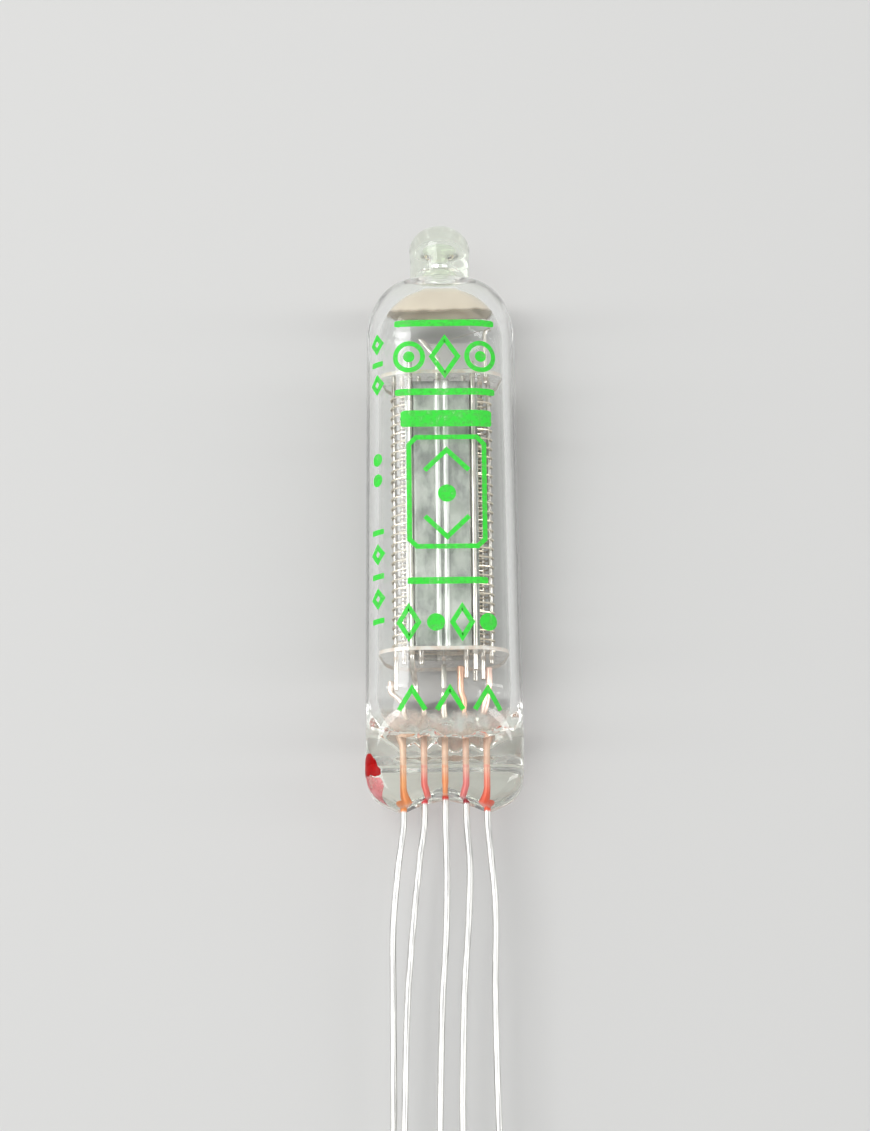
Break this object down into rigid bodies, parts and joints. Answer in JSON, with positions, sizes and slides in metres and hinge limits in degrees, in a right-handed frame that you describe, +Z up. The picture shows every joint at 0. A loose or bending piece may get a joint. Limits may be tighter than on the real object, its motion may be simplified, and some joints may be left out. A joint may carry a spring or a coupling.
{
  "type": "vacuum tube",
  "caption": "Subminiature vacuum tube with a flattened oval glass bulb, a flat press with in-line wire leads, and its electrode assembly seen through the glass.",
  "frame": {"origin": "middle of the flat side that the tube lies on", "axes": "+Y along the bulb towards the exhaust tip, +X across the row of leads, +Z up, away from the flat side that it lies on"},
  "size_m": [0.0097, 0.0719, 0.0071],
  "materials": {
    "bulb_glass": "clear blown glass",
    "lead_wire": "tinned wire, slightly dull",
    "mica": "cleaved mica sheet",
    "plate_metal": "grey pressed sheet, matt and mottled",
    "rod_metal": "bright drawn wire",
    "grid_wire": "fine bright wire",
    "filament_coating": "white oxide coating",
    "getter_film": "silvery film on the inside of the glass",
    "red_paint": "dark red paint"
  },
  "bodies": {
    "root": {"bottom_mica": "mica", "control_rod_left": "rod_metal", "control_rod_right": "rod_metal", "control_winding": "grid_wire", "filament": "filament_coating", "filament_spring": "rod_metal", "filament_tab": "rod_metal", "getter_mirror": "getter_film", "getter_strip": "rod_metal", "getter_support_wire": "rod_metal", "glass_envelope": "bulb_glass", "lead_1": "lead_wire", "lead_2": "lead_wire", "lead_3": "lead_wire", "lead_4": "lead_wire", "lead_5": "lead_wire", "paint_dot": "red_paint", "plate_front": "plate_metal", "plate_rear": "plate_metal", "plate_rod_front_left": "rod_metal", "plate_rod_front_right": "rod_metal", "plate_rod_rear_left": "rod_metal", "plate_rod_rear_right": "rod_metal", "screen_rod_left": "rod_metal", "screen_rod_right": "rod_metal", "screen_winding": "grid_wire", "suppressor_rod_left": "rod_metal", "suppressor_rod_right": "rod_metal", "suppressor_winding": "grid_wire", "top_mica": "mica"}
  },
  "joints": []
}
